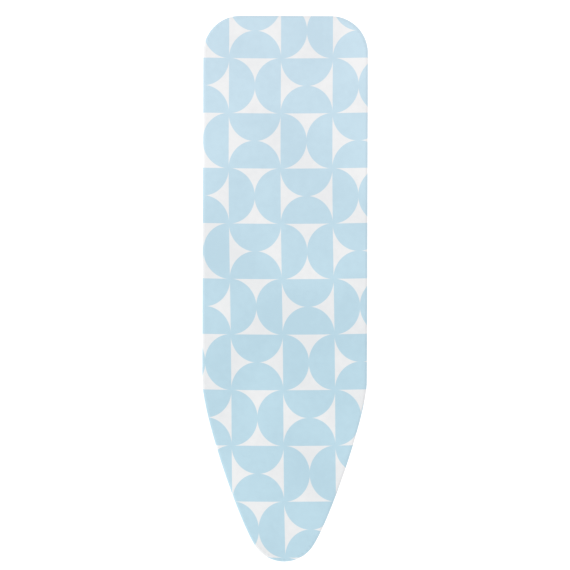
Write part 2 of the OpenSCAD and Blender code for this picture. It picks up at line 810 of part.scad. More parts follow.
cover();
cover_skirt();
cover_hem_straight();
cover_hem_curved();
hem_binding_straight();
hem_binding_curved();
drawstring();
cord_lock_case();
cord_lock_spring();
cord_lock_button();
foam_pad();
felt_pad();
steel_top();
steel_rim();
slide_rail_left();
slide_rail_right();
rail_rivets();
pivot_bracket();
bracket_rivets();
ratchet_bracket();
ratchet_pin();
ratchet_spring();
catch_bracket();
catch_pin();
inner_leg_tube_left();
inner_leg_tube_right();
inner_leg_brace();
nose_foot_bar();
nose_foot_cap_left();
nose_foot_cap_right();
inner_leg_plugs();
pivot_axle();
pivot_axle_nuts();
pivot_spacer();
cross_pivot_bolts();
cross_pivot_nuts();
cross_pivot_washers();
outer_leg_tube_left();
outer_leg_tube_right();
outer_leg_brace();
blunt_foot_bar();
blunt_foot_cap_left();
blunt_foot_cap_right();
outer_leg_plugs();
slider_rod();
slider_spacers();
slider_end_caps();
glide_shoe_left();
glide_shoe_right();
ratchet_plate();
release_arm();
release_grip();
storage_catch();
catch_tab();
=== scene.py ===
"""A folding ironing board in its fitted printed cover, seen from straight above."""
import json
import math

import bmesh
import bpy
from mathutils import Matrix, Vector, noise


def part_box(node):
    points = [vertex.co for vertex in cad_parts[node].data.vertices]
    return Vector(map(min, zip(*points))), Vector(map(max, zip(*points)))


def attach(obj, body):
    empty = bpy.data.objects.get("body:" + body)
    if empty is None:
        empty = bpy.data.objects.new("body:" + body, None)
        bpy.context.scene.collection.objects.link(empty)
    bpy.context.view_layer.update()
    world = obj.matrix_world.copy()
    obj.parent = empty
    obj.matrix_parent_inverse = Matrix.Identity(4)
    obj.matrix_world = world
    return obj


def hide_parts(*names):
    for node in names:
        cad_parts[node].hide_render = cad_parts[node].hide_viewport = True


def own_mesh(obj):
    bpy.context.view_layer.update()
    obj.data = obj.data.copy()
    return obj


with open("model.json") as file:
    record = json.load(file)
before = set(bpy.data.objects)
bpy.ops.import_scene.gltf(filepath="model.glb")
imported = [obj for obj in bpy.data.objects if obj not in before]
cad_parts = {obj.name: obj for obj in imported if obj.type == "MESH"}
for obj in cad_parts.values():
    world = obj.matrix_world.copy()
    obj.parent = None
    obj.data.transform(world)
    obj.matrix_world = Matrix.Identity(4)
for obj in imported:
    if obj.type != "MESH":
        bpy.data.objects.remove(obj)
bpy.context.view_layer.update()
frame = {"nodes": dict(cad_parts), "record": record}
MM = 0.001

# ---------- sizes, from the frame where it has them ----------

COVER_LOW, COVER_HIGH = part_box("cover")
TOP_Z = COVER_HIGH[2]
HEM_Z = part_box("cover_hem_straight")[0][2]
BLUNT_Y = COVER_HIGH[1]
NOSE_Y = COVER_LOW[1]
HALF_W = COVER_HIGH[0]
BINDING_LOW, BINDING_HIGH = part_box("hem_binding_straight")

# The outline's shape, as in the CAD model
CORNER_R = 84 * MM
NOSE_R = 78 * MM
NOSE_SWEEP = math.radians(54)
TAPER_L = 412 * MM
SIDE_HANDLE = 79 * MM
NOSE_HANDLE = 62 * MM
HEM_W = 38 * MM
COLUMN_STEP = 2.2 * MM  # between neighbouring points of the outline
SPINE_NOSE = 100 * MM   # from the nose to the start of the middle line that flat faces run in to
SPINE_BLUNT = 110 * MM  # from its other end to the blunt end

# The cloth
CLOTH_T = 0.8 * MM
EDGE_R = 6 * MM         # radius over the pads' edge
FLAT_MARGIN = 8 * MM    # from that radius in to where the top's plain rings end
RIM_R = 1.8 * MM        # radius round the rim's lower edge
WALL_PULL = 0.2 * MM    # how far the skirt leans in
RIM_INSET = 1.2 * MM    # from the outline in to the steel rim
RIM_W = 1 * MM
FLANGE_START = WALL_PULL + RIM_R
FLANGE_ROWS = 12
GATHER_PITCH = 13 * MM
FULL_BEND = 11          # curvature, 1/m, at which the gathers are full

# The hem's channel, its stitches and the cord, each open by so much on both sides of the cord lock
CHANNEL_INSET = HEM_W + 3.5 * MM
CHANNEL_GAP = 28 * MM
STITCH_GAP = 20 * MM
CORD_GAP = 11 * MM
LOCK_HALF = 18 * MM     # the hem lies flat by the lock, and gathers over LOCK_EASE beyond it
LOCK_EASE = 25 * MM
CHANNEL_R = 3.1 * MM
STITCH_R = 0.26 * MM
STITCH_TIP_R = 0.08 * MM

# The pads' flat faces
PAD_MARGIN = 6 * MM     # from the rounded edge in to the first plain ring
PAD_RINGS = 10

# The cloth's simulation
SIM_SCALE = 10          # the solver is steadier on a model ten times as large
SIM_STEPS = 24
MOVE_CAP = 7 * MM
EASE_PASSES = 2

# The cord lock's spring
SPRING_WIRE_R = 0.6 * MM
SPRING_TURNS = 3
SPRING_STEPS = 20       # to a turn

# Welds
BEAD_R = 1.4 * MM
BEAD_POINTS = 64
BEAD_RIPPLES = 16
BEAD_RIPPLE = 0.18      # of its radius

# The camera
LENS = 100
CAMERA_UP = 3.593       # above the board's top
CAMERA_X = 0.2 * MM
CAMERA_Y = 8.6 * MM
CAMERA_ROLL = math.radians(0.18)

# The drawstring: three strands
CORD_LAY = 9 * MM
STRAND_R = 0.98 * MM
STRAND_OFFSET = 0.95 * MM

# The print: a chequerboard of cells, each with two half discs back to back. The cloth was pulled on a
# little askew, so its columns lean, bend and sway, and its rows tilt, bow and spread.
CELL_W = 117.7 * MM
CELL_L = 125.8 * MM
PRINT_Y = 525.0 * MM
PRINT_X = -7.1 * MM
PRINT_LEAN = -0.0124    # m across per m along
PRINT_BEND = 0.0085     # m across per m2 along
PRINT_SWAY = 1.0 * MM
SWAY_LENGTH = 0.73      # m, of one full sway
SWAY_START = 0.413      # m, where one starts
ROW_TILT = 0.0033       # m along per m across
ROW_BOW = 0.06          # m along per m2 across
ROW_SPREAD = -0.008     # m along per m2 along


# ---------- outline ----------

def bezier(points, t):
    """The place t, from 0 to 1, along the cubic curve with these four control points."""
    a, b, c, d = points
    return a * (1 - t) ** 3 + b * 3 * t * (1 - t) ** 2 + c * 3 * t * t * (1 - t) + d * t ** 3


def right_half():
    """Points on the outline's right half, from the middle of the blunt end to the tip of the nose."""
    nose_centre = Vector((0, NOSE_Y + NOSE_R))
    side_start = Vector((HALF_W, NOSE_Y + TAPER_L))
    side_end = nose_centre + NOSE_R * Vector((math.sin(NOSE_SWEEP), -math.cos(NOSE_SWEEP)))
    curve = (
        side_start,
        side_start - Vector((0, SIDE_HANDLE)),
        side_end + NOSE_HANDLE * Vector((math.cos(NOSE_SWEEP), math.sin(NOSE_SWEEP))),
        side_end,
    )
    corner = Vector((HALF_W - CORNER_R, BLUNT_Y - CORNER_R))
    points = []

    n = round(corner.x / COLUMN_STEP)
    points += [Vector((corner.x * i / n, BLUNT_Y)) for i in range(n)]
    n = round(CORNER_R * math.pi / 2 / COLUMN_STEP)
    for i in range(n):
        a = math.pi / 2 * (1 - i / n)
        points.append(corner + CORNER_R * Vector((math.cos(a), math.sin(a))))
    side = corner.y - side_start.y
    n = round(side / COLUMN_STEP)
    points += [Vector((HALF_W, corner.y - side * i / n)) for i in range(n)]
    n = round((side_start - side_end).length / COLUMN_STEP)
    points += [bezier(curve, i / n) for i in range(n)]
    n = round(NOSE_R * NOSE_SWEEP / COLUMN_STEP)
    for i in range(n + 1):
        a = NOSE_SWEEP * (1 - i / n)
        points.append(nose_centre + NOSE_R * Vector((math.sin(a), -math.cos(a))))
    return points


def outline():
    """Columns clockwise round the board from the blunt end's middle: (point, outward normal, curvature)."""
    right = right_half()
    points = right + [Vector((-p.x, p.y)) for p in reversed(right[1:-1])]
    columns = []
    for i, p in enumerate(points):
        before, after = points[i - 1], points[(i + 1) % len(points)]
        run_in, run_out = (p - before), (after - p)
        run = (after - before).normalized()
        turn = math.atan2(run_in.x * run_out.y - run_in.y * run_out.x, run_in.dot(run_out))
        columns.append((p, Vector((-run.y, run.x)), -turn / (0.5 * (run_in.length + run_out.length))))
    return columns


COLUMNS = outline()
STEPS = [(COLUMNS[(i + 1) % len(COLUMNS)][0] - c[0]).length for i, c in enumerate(COLUMNS)]
RUNS = [sum(STEPS[:i]) for i in range(len(STEPS))]
PERIMETER = sum(STEPS)


def smoothed(values, reach):
    """Each value as the mean of its neighbours within reach columns, all round."""
    n = len(values)
    total = sum(values[i % n] for i in range(-reach, reach + 1))
    out = []
    for i in range(n):
        out.append(total / (2 * reach + 1))
        total += values[(i + reach + 1) % n] - values[(i - reach) % n]
    return out


CURVATURE = smoothed([max(0.0, c[2]) for c in COLUMNS], 12)


def spine_point(p):
    """The point on the middle line that a column's top runs in to."""
    return Vector((0, min(max(p.y, NOSE_Y + SPINE_NOSE), BLUNT_Y - SPINE_BLUNT)))


# ---------- mesh helpers ----------

def piece(name, mesh, body="board"):
    """A new object that rides on a body."""
    obj = bpy.data.objects.new(name, mesh)
    bpy.context.scene.collection.objects.link(obj)
    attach(obj, body)
    return obj


def loft(name, rings, cuts=None):
    """A smooth mesh between rings of equal length. cuts are the places in the flat cloth, ring by ring."""
    bm = bmesh.new()
    layer = bm.verts.layers.float_vector.new("cut") if cuts else None
    grid = []
    for k, ring in enumerate(rings):
        row = [bm.verts.new(p) for p in ring]
        if cuts:
            for v, c in zip(row, cuts[k]):
                v[layer] = (c[0], c[1], 0)
        grid.append(row)
    for a, b in zip(grid, grid[1:]):
        n = len(a)
        for i in range(n):
            j = (i + 1) % n
            bm.faces.new((a[i], a[j], b[j], b[i]))
    bmesh.ops.remove_doubles(bm, verts=bm.verts, dist=1e-6)
    bmesh.ops.recalc_face_normals(bm, faces=bm.faces)
    mesh = bpy.data.meshes.new(name)
    for face in bm.faces:
        face.smooth = True
    bm.to_mesh(mesh)
    bm.free()
    return mesh


def ring_at(inset, z):
    """The outline moved in by inset, at height z."""
    return [Vector((p.x - n.x * inset, p.y - n.y * inset, z)) for p, n, _ in COLUMNS]


def flat_rings(inset, z, count, dent=lambda x, y: 0.0):
    """Rings from the spine out to the outline moved in by inset, without the last one."""
    rings = []
    for k in range(count):
        t = k / count
        ring = []
        for p, n, _ in COLUMNS:
            q = spine_point(p).lerp(p - n * inset, t)
            ring.append(Vector((q.x, q.y, z + dent(q.x, q.y))))
        rings.append(ring)
    return rings


# ---------- the cloth cover ----------

def top_dent(x, y):
    """The slight unevenness of pads under pulled cloth."""
    broad = noise.noise(Vector((x * 9, y * 7, 3.1))) - 0.3
    fine = noise.noise(Vector((x * 40, y * 40, 0)))
    return (0.35 * broad + 0.12 * fine) * MM


def cover_profile():
    """(inset, z, distance along the cloth past the top's edge, grip) from the top's edge to the hem.

    grip is how firmly the cloth is held there: 1 on the pads and in the hem's stitches, 0 where it is free.
    """
    profile = []
    for a in range(0, 91, 15):
        s, c = math.sin(math.radians(a)), math.cos(math.radians(a))
        profile.append((EDGE_R * (1 - s), TOP_Z - EDGE_R * (1 - c), EDGE_R * (math.radians(a) - 1), 1.0))
    wall_top = TOP_Z - EDGE_R
    wall_bottom = HEM_Z + RIM_R
    along = EDGE_R * (math.pi / 2 - 1)
    for k in range(1, 7):
        t = k / 6
        inset = WALL_PULL * math.sin(math.pi * t * 0.5)
        profile.append((inset, wall_top + (wall_bottom - wall_top) * t,
                        along + (wall_top - wall_bottom) * t, 1.0 - 0.5 * t))
    along += wall_top - wall_bottom
    for a in range(30, 91, 30):
        s, c = math.sin(math.radians(a)), math.cos(math.radians(a))
        profile.append((WALL_PULL + RIM_R * (1 - c), wall_bottom - RIM_R * s,
                        along + RIM_R * math.radians(a), 0.6))
    along += RIM_R * math.pi / 2
    for k in range(1, FLANGE_ROWS + 1):
        t = k / FLANGE_ROWS
        reach = (HEM_W - FLANGE_START) * t
        profile.append((FLANGE_START + reach, HEM_Z, along + reach, 1.0 if t == 1 else 0.0))
    return profile


def gather_waves():
    """For each column, the gathers' wave from -1 to 1. Its pitch wanders, and it closes after one turn."""
    count = round(PERIMETER / GATHER_PITCH)
    wander = [noise.noise(Vector((run / 0.18, 5.0, 0))) for run in RUNS]
    waves = []
    for run, drift in zip(RUNS, wander):
        u = run / PERIMETER
        phase = 2 * math.pi * (count * u + 1.6 * math.sin(math.pi * u) * drift)
        waves.append(math.sin(phase) + 0.28 * math.sin(2 * phase + 1.0 + 3 * drift))
    return waves


WAVES = gather_waves()


def near_lock(p):
    """From 0 at the cord lock to 1 away from it."""
    if p.y < BLUNT_Y - CORNER_R:
        return 1.0
    return min(1.0, max(0.0, (abs(p.x) - LOCK_HALF) / LOCK_EASE))


def eased(rings, grips):
    """The rings with each free point moved half way to the middle of its four neighbours."""
    out = [rings[0]]
    for k in range(1, len(rings) - 1):
        ring, n = rings[k], len(rings[k])
        share = 0.5 * (1 - grips[k])
        out.append([
            p.lerp((ring[i - 1] + ring[(i + 1) % n] + rings[k - 1][i] + rings[k + 1][i]) / 4, share)
            for i, p in enumerate(ring)
        ])
    out.append(rings[-1])
    return out


def clear_of_rim(ring):
    """A ring of the cover, each point kept outside the steel rim and the pads and below the rim's edge."""
    kept = []
    for q, (p, n, _) in zip(ring, COLUMNS):
        inset = (p - q.xy).dot(n)
        if q.z > HEM_Z + RIM_R:
            push = max(0.0, inset - (RIM_INSET - CLOTH_T))
            if push and q.z < TOP_Z - EDGE_R:
                q = q + Vector((n.x, n.y, 0)) * push
        elif inset < RIM_INSET + RIM_W + CLOTH_T:
            q = Vector((q.x, q.y, min(q.z, HEM_Z + inset_lift(inset))))
        kept.append(q)
    return kept


def inset_lift(inset):
    """How far above the hem's level the cover may be at an inset, going round the rim's edge."""
    return max(0.0, FLANGE_START - inset) + 0.2 * MM


def settled(rings, cuts, grips):
    """The rings once the cloth has settled.

    The cloth's springs have the lengths of the flat cut. The cord holds the hem shorter than that round the
    corners and the nose, so the cloth buckles into gathers there.
    """
    count = len(rings[0])
    faces = [
        (k * count + i, k * count + (i + 1) % count, (k + 1) * count + (i + 1) % count, (k + 1) * count + i)
        for k in range(len(rings) - 1) for i in range(count)
    ]
    start = [p for ring in rings for p in ring]
    mesh = bpy.data.meshes.new("settling")
    mesh.from_pydata([p * SIM_SCALE for p in start], [], faces)
    obj = bpy.data.objects.new("settling", mesh)
    bpy.context.scene.collection.objects.link(obj)
    held = obj.vertex_groups.new(name="held")
    for k, grip in enumerate(grips):
        held.add(range(k * count, (k + 1) * count), grip, "REPLACE")
    obj.shape_key_add(name="folded under")
    flat = obj.shape_key_add(name="flat")
    for place, cut in zip(flat.data, (c for ring in cuts for c in ring)):
        place.co = Vector((cut[0], cut[1], 0)) * SIM_SCALE
    cloth = obj.modifiers.new("cloth", "CLOTH")
    springs = cloth.settings
    springs.quality = 7
    springs.mass = 0.15
    springs.air_damping = 3
    springs.tension_stiffness = 30
    springs.compression_stiffness = 30
    springs.shear_stiffness = 5
    springs.bending_stiffness = 0.2
    springs.effector_weights.gravity = 0.15
    springs.vertex_group_mass = "held"
    springs.pin_stiffness = 2
    springs.rest_shape_key = flat
    cloth.collision_settings.use_collision = False
    cloth.point_cache.frame_end = SIM_STEPS
    scene = bpy.context.scene
    for step in range(1, SIM_STEPS + 1):
        scene.frame_set(step)
    after = obj.evaluated_get(bpy.context.evaluated_depsgraph_get()).data
    moved = []
    for before, v in zip(start, after.vertices):
        shift = v.co / SIM_SCALE - before
        if shift.length > MOVE_CAP:
            shift *= MOVE_CAP / shift.length
        moved.append(before + shift)
    scene.frame_set(1)
    bpy.data.objects.remove(obj)
    after_rings = [moved[k * count:(k + 1) * count] for k in range(len(rings))]
    for _ in range(EASE_PASSES):
        after_rings = eased(after_rings, grips)
    return [clear_of_rim(ring) for ring in after_rings]


def cover_cloth():
    """The printed cover. Returns it, the cloth's reach past the top's edge, and the ring by the stitches."""
    rings = flat_rings(EDGE_R + FLAT_MARGIN, TOP_Z, 26, top_dent)
    cuts = [[(v.x, v.y) for v in ring] for ring in rings]
    for share in (1.0, 0.5, 0.125):
        inset = EDGE_R + FLAT_MARGIN * share
        ring = [v + Vector((0, 0, share * top_dent(v.x, v.y))) for v in ring_at(inset, TOP_Z)]
        rings.append(ring)
        cuts.append([(v.x, v.y) for v in ring])
    top_count = len(rings)
    profile = cover_profile()
    for inset, z, along, _ in profile:
        down = min(1.0, max(0.0, (TOP_Z - EDGE_R - z) / (TOP_Z - EDGE_R - HEM_Z)))
        under = max(0.0, (inset - FLANGE_START) / (HEM_W - FLANGE_START))
        ring, cut = [], []
        for (p, n, _), wave, bend in zip(COLUMNS, WAVES, CURVATURE):
            tight = min(1.0, bend / FULL_BEND)
            pucker = (0.12 + 0.35 * tight) * MM * wave * down * (1 - under)
            lift = (0.6 + 1.6 * tight) * MM * math.sin(math.pi * under) * near_lock(p) * wave
            q = p - n * (inset + pucker)
            ring.append(Vector((q.x, q.y, z + lift)))
            out = p + n * along
            cut.append((out.x, out.y))
        rings.append(ring)
        cuts.append(cut)
    grips = [row[3] for row in profile]
    rings[top_count:] = settled(rings[top_count:], cuts[top_count:], grips)
    cloth = piece("cover_cloth", loft("cover_cloth", rings, cuts))
    thick = cloth.modifiers.new("thickness", "SOLIDIFY")
    thick.thickness = CLOTH_T
    thick.offset = -1
    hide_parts("cover", "cover_skirt", "cover_hem_straight", "cover_hem_curved")
    return cloth, profile[-1][2], rings[-2]


def framed(points, pole=Vector((0, 0, 1)), closed=False):
    """(point, side, up) along a line of points, with up kept near the pole."""
    out = []
    last = len(points) - 1
    for i, p in enumerate(points):
        before = points[i - 1] if closed else points[max(i - 1, 0)]
        after = points[(i + 1) % len(points)] if closed else points[min(i + 1, last)]
        run = (after - before).normalized()
        side = run.cross(pole).normalized()
        out.append((p, side, side.cross(run)))
    return out


def round_offset(side, up, angle, radius):
    """From a tube's middle to its surface at an angle."""
    return (side * math.cos(angle) + up * math.sin(angle)) * radius


def add_tube(bm, line, radius_at, sides, ends="closed"):
    """A tube along a framed line, radius_at(i, angle) thick. ends is closed, open or joined."""
    turns = [2 * math.pi * k / sides for k in range(sides)]
    rows = [
        [bm.verts.new(p + round_offset(side, up, a, radius_at(i, a))) for a in turns]
        for i, (p, side, up) in enumerate(line)
    ]
    following = rows[1:] + (rows[:1] if ends == "joined" else [])
    for low, high in zip(rows, following):
        for k in range(sides):
            m = (k + 1) % sides
            bm.faces.new((low[k], low[m], high[m], high[k]))
    if ends == "closed":
        bm.faces.new(reversed(rows[0]))
        bm.faces.new(rows[-1])


def tubes_piece(name, build, body="board"):
    """A smooth piece of tubes, which build adds to an empty bmesh."""
    bm = bmesh.new()
    build(bm)
    bmesh.ops.recalc_face_normals(bm, faces=bm.faces)
    for face in bm.faces:
        face.smooth = True
    mesh = bpy.data.meshes.new(name)
    bm.to_mesh(mesh)
    bm.free()
    return piece(name, mesh, body)


def hem_line(gap):
    """(column, point) along the middle of the hem's channel, open by gap each side of the cord lock."""
    middle_z = (BINDING_LOW[2] + BINDING_HIGH[2]) / 2
    line = []
    for i, (p, n, _) in enumerate(COLUMNS):
        q = p - n * CHANNEL_INSET
        if q.y < 0 or abs(q.x) > gap:
            line.append((i, Vector((q.x, q.y, middle_z))))
    return line


def hem_channel():
    """The sewn channel that the cord runs in, puckered by the gathers."""
    line = hem_line(CHANNEL_GAP)
    waves = [WAVES[i] for i, _ in line]

    def radius(i, angle):
        return CHANNEL_R + (0.35 * waves[i] + 0.12 * math.sin(3 * angle + 0.2 * i)) * MM

    path = framed([p for _, p in line])
    channel = tubes_piece("hem_channel", lambda bm: add_tube(bm, path, radius, 12, "open"))
    thick = channel.modifiers.new("thickness", "SOLIDIFY")
    thick.thickness = CLOTH_T
    thick.offset = -1
    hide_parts("hem_binding_straight", "hem_binding_curved")
    return channel


def hem_stitching(ring):
    """The row of thread that closes the channel, along a ring of the cover just outside it."""
    order = [i for i, _ in hem_line(STITCH_GAP)]
    drop = Vector((0, 0, CLOTH_T * 0.1))
    radii = (STITCH_TIP_R, STITCH_R, STITCH_R, STITCH_TIP_R)

    def build(bm):
        for here, there in zip(order[::2], order[2::2]):
            a, b = ring[here] - drop, ring[there] - drop
            stitch = [a.lerp(b, t) for t in (0.0, 0.15, 0.6, 0.75)]
            add_tube(bm, framed(stitch), lambda i, _: radii[i], 6)

    stitches = tubes_piece("hem_stitching", build)
    return stitches


def drawstring_cord():
    """A three-strand cord right round the hem, both ends in the cord lock."""
    line = framed([p for _, p in hem_line(CORD_GAP)])
    lengths = [0.0]
    for a, b in zip(line, line[1:]):
        lengths.append(lengths[-1] + (b[0] - a[0]).length)

    def build(bm):
        for strand in range(3):
            turns = [2 * math.pi * (run / CORD_LAY + strand / 3) for run in lengths]
            path = [
                (p + round_offset(side, up, a, STRAND_OFFSET), side, up)
                for (p, side, up), a in zip(line, turns)
            ]
            add_tube(bm, path, lambda i, _: STRAND_R, 6)

    cord = tubes_piece("drawstring_cord", build)
    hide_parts("drawstring")
    return cord


def lock_spring():
    """The cord lock's coil spring, at the length of the CAD spring's box."""
    low, high = (Vector(corner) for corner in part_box("cord_lock_spring"))
    centre = (low + high) / 2
    coil_r = (high.x - low.x) / 2 - SPRING_WIRE_R
    length = high.y - low.y - 2 * SPRING_WIRE_R
    count = SPRING_TURNS * SPRING_STEPS
    points = []
    for k in range(count + 1):
        turn = 2 * math.pi * k / SPRING_STEPS
        points.append(Vector((
            centre.x + coil_r * math.cos(turn),
            low.y + SPRING_WIRE_R + length * k / count,
            centre.z + coil_r * math.sin(turn),
        )))
    path = framed(points, Vector((0, 1, 0)))
    coil = tubes_piece("lock_spring_coil", lambda bm: add_tube(bm, path, lambda i, _: SPRING_WIRE_R, 8))
    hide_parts("cord_lock_spring")
    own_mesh(coil)
    return coil


def pad_layer(name, node, round_top):
    """A pad cut to the board's outline. Its top edge is rounded by round_top."""
    low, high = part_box(node)
    inset = HALF_W - high[0]
    bottom, top = low[2], high[2]
    flat_inset = inset + round_top + PAD_MARGIN
    rings = flat_rings(flat_inset, top, PAD_RINGS)
    rings.append(ring_at(flat_inset, top))
    for a in range(0, 91, 18):
        s, c = math.sin(math.radians(a)), math.cos(math.radians(a))
        reach = min(round_top, top - bottom)
        rings.append(ring_at(inset + round_top * (1 - s), top - reach * (1 - c)))
    rings.append(ring_at(inset + 0.3 * MM, bottom + 0.3 * MM))
    rings.append(ring_at(inset + 0.8 * MM, bottom))
    rings.append(ring_at(flat_inset, bottom))
    rings += reversed(flat_rings(flat_inset, bottom, PAD_RINGS))
    pad = piece(name, loft(name, rings))
    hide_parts(node)
    return pad


# ---------- welds ----------

def middle(node):
    """The middle of a CAD node's box."""
    low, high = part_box(node)
    return (Vector(low) + Vector(high)) / 2


def weld_beads(name, body, tubes, bar, brace, top_pin):
    """A bead round each tube's foot, where it meets the bar, and round each end of the brace."""
    foot, strut = middle(bar), middle(brace)
    along = (middle(top_pin) - foot).normalized()
    along.x = 0
    across = Vector((1, 0, 0))
    normal = across.cross(along)
    tube_r = (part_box(bar)[1][2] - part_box(bar)[0][2]) / 2
    brace_r = (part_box(brace)[1][2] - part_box(brace)[0][2]) / 2
    turns = [2 * math.pi * k / BEAD_POINTS for k in range(BEAD_POINTS)]

    def radius(i, _):
        return BEAD_R * (1 + BEAD_RIPPLE * math.sin(2 * math.pi * i * BEAD_RIPPLES / BEAD_POINTS))

    def build(bm):
        for x in (middle(tube).x for tube in tubes):
            centre = Vector((x, foot.y, foot.z))
            saddle = [
                centre + tube_r * (across * math.cos(a) + normal * math.sin(a) + along * abs(math.cos(a)))
                for a in turns
            ]
            add_tube(bm, framed(saddle, along, True), radius, 8, "joined")
            inward = across if x < 0 else -across
            centre = Vector((x, strut.y, strut.z))
            mouth = [
                centre + brace_r * (along * math.cos(a) + normal * math.sin(a))
                + inward * math.sqrt(tube_r ** 2 - (brace_r * math.sin(a)) ** 2)
                for a in turns
            ]
            add_tube(bm, framed(mouth, across, True), radius, 8, "joined")

    beads = tubes_piece(name, build, body)
    return beads


# ---------- materials ----------

class Shader:
    """A node material under construction."""

    def __init__(self, name, **values):
        self.material = bpy.data.materials.new(name)
        self.material.use_nodes = True
        self.tree = self.material.node_tree
        self.tree.nodes.clear()
        self.output = self.tree.nodes.new("ShaderNodeOutputMaterial")
        self.surface = self.tree.nodes.new("ShaderNodeBsdfPrincipled")
        self.link(self.surface.outputs[0], self.output.inputs["Surface"])
        for key, value in values.items():
            self.surface.inputs[key.replace("_", " ")].default_value = value
        self.place = self.tree.nodes.new("ShaderNodeTexCoord").outputs["Object"]

    def link(self, source, target):
        self.tree.links.new(source, target)

    def add(self, kind, inputs=None, **settings):
        made = self.tree.nodes.new(kind)
        for key, value in settings.items():
            setattr(made, key, value)
        for key, value in (inputs or {}).items():
            if isinstance(value, bpy.types.NodeSocket):
                self.link(value, made.inputs[key])
            else:
                made.inputs[key].default_value = value
        return made

    def math(self, operation, a, b=0.0, c=0.0):
        return self.add("ShaderNodeMath", {0: a, 1: b, 2: c}, operation=operation).outputs[0]

    def mapped(self, scale, place=None):
        return self.add("ShaderNodeMapping", {"Vector": place or self.place, "Scale": scale}).outputs[0]

    def noise(self, scale, detail=3.0, place=None, roughness=0.5):
        made = self.add(
            "ShaderNodeTexNoise",
            {"Vector": place or self.place, "Scale": scale, "Detail": detail, "Roughness": roughness},
        )
        return made.outputs["Fac"]

    def ramp(self, value, low, high, low_to, high_to):
        """value taken from the range low..high to low_to..high_to."""
        return self.add(
            "ShaderNodeMapRange",
            {"Value": value, "From Min": low, "From Max": high, "To Min": low_to, "To Max": high_to},
        ).outputs[0]

    def mix(self, factor, a, b):
        made = self.add("ShaderNodeMix", data_type="RGBA")
        for index, value in ((0, factor), (6, a), (7, b)):
            if isinstance(value, bpy.types.NodeSocket):
                self.link(value, made.inputs[index])
            else:
                made.inputs[index].default_value = value
        return made.outputs[2]

    def bump(self, height, strength, distance, under=None):
        inputs = {"Height": height, "Strength": strength, "Distance": distance}
        if under is not None:
            inputs["Normal"] = under
        return self.add("ShaderNodeBump", inputs).outputs[0]

    def colour(self, value):
        self.link(value, self.surface.inputs["Base Color"])

    def roughness(self, value):
        self.link(value, self.surface.inputs["Roughness"])

    def normal(self, value):
        self.link(value, self.surface.inputs["Normal"])


def rgb(r, g, b):
    """A colour given as it shows on a screen, 0 to 255, as linear light."""
    def linear(v):
        v /= 255
        return v / 12.92 if v <= 0.04045 else ((v + 0.055) / 1.055) ** 2.4
    return (linear(r), linear(g), linear(b), 1.0)


def weave(sh, place, pitch):
    """The height of a plain weave: threads over and under in turn."""
    parts = sh.add("ShaderNodeSeparateXYZ", {0: place})
    turn = 2 * math.pi / pitch
    across = sh.math("SINE", sh.math("MULTIPLY", parts.outputs[0], turn))
    along = sh.math("SINE", sh.math("MULTIPLY", parts.outputs[1], turn))
    over = sh.math("MULTIPLY", across, along)
    return sh.math("MULTIPLY_ADD", over, 0.5, 0.5)


def print_mask(sh, place):
    """1 on the printed half discs, 0 on the ground."""
    parts = sh.add("ShaderNodeSeparateXYZ", {0: place})
    x, y = parts.outputs[0], parts.outputs[1]
    y_square = sh.math("MULTIPLY", y, y)
    bend = sh.math("MULTIPLY_ADD", y_square, PRINT_BEND, PRINT_X)
    lean = sh.math("MULTIPLY_ADD", y, PRINT_LEAN, bend)
    turn = sh.math("MULTIPLY", sh.math("SUBTRACT", y, SWAY_START), 2 * math.pi / SWAY_LENGTH)
    line = sh.math("MULTIPLY_ADD", sh.math("SINE", turn), PRINT_SWAY, lean)
    u = sh.math("DIVIDE", sh.math("SUBTRACT", x, line), CELL_W)
    spread = sh.math("MULTIPLY_ADD", y_square, ROW_SPREAD, PRINT_Y)
    bow = sh.math("MULTIPLY_ADD", sh.math("MULTIPLY", x, x), ROW_BOW, spread)
    row = sh.math("MULTIPLY_ADD", x, ROW_TILT, bow)
    v = sh.math("DIVIDE", sh.math("SUBTRACT", y, row), CELL_L)
    odd = sh.math("FLOORED_MODULO", sh.math("ADD", sh.math("FLOOR", u), sh.math("FLOOR", v)), 2.0)
    in_u = sh.math("SUBTRACT", sh.math("FRACT", u), 0.5)
    in_v = sh.math("SUBTRACT", sh.math("FRACT", v), 0.5)
    swap = sh.math("MULTIPLY", odd, sh.math("SUBTRACT", in_v, in_u))
    p = sh.math("ADD", in_u, swap)
    q = sh.math("SUBTRACT", in_v, swap)
    from_edge = sh.math("SUBTRACT", 0.5, sh.math("ABSOLUTE", p))
    square = sh.math("MULTIPLY_ADD", q, q, sh.math("MULTIPLY", from_edge, from_edge))
    return sh.ramp(sh.math("SQRT", square), 0.500, 0.506, 1.0, 0.0)


